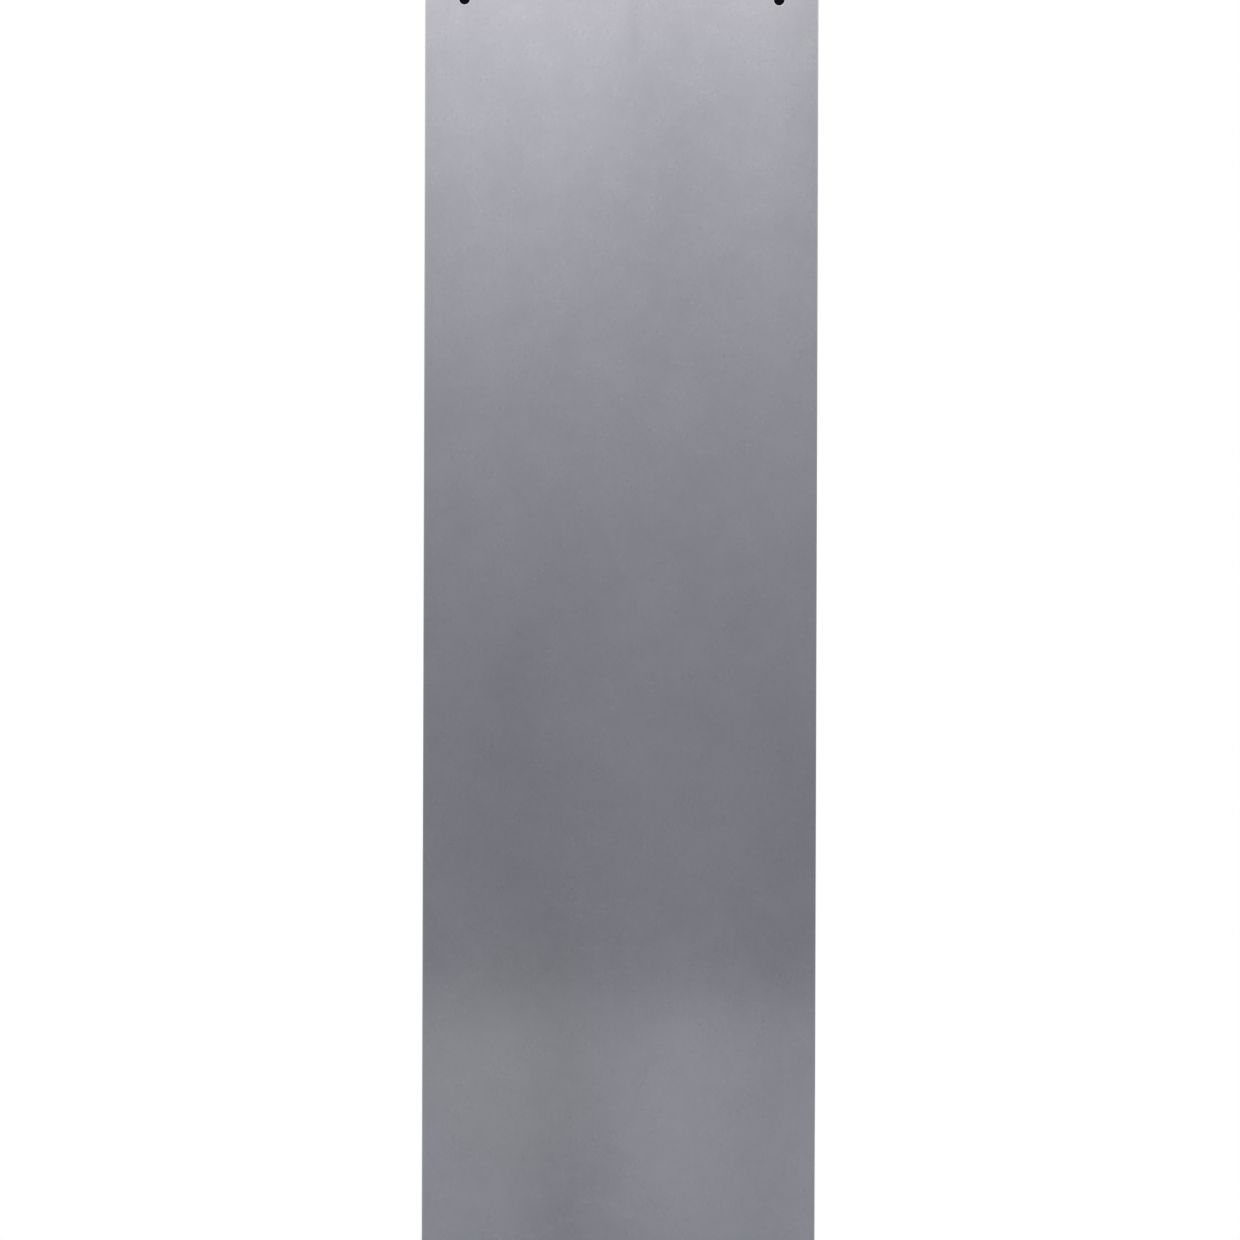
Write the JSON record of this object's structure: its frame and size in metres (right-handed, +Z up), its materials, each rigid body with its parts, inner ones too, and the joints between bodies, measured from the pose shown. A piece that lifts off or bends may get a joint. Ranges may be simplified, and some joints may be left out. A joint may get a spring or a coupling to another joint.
{
  "type": "steel ruler",
  "caption": "Wide flat steel ruler, plain on its front and with a metric and an inch scale on its back, pinned or hung by small holes at its top end.",
  "frame": {"origin": "midway between the two pin holes, halfway through the blade's thickness", "axes": "+X across the blade, +Y out of the graduated face, +Z up the blade from its zero end to the end with the holes"},
  "size_m": [0.05, 0.0013, 0.315],
  "materials": {
    "satin_steel": "fine satin",
    "black_ink": "hard matt ink"
  },
  "bodies": {
    "root": {"blade": "satin_steel", "millimetre_lines": "black_ink", "half_millimetre_lines": "black_ink", "centimetre_numerals": "black_ink", "inch_lines": "black_ink", "thirty_second_lines": "black_ink", "inch_numerals": "black_ink"}
  },
  "joints": []
}
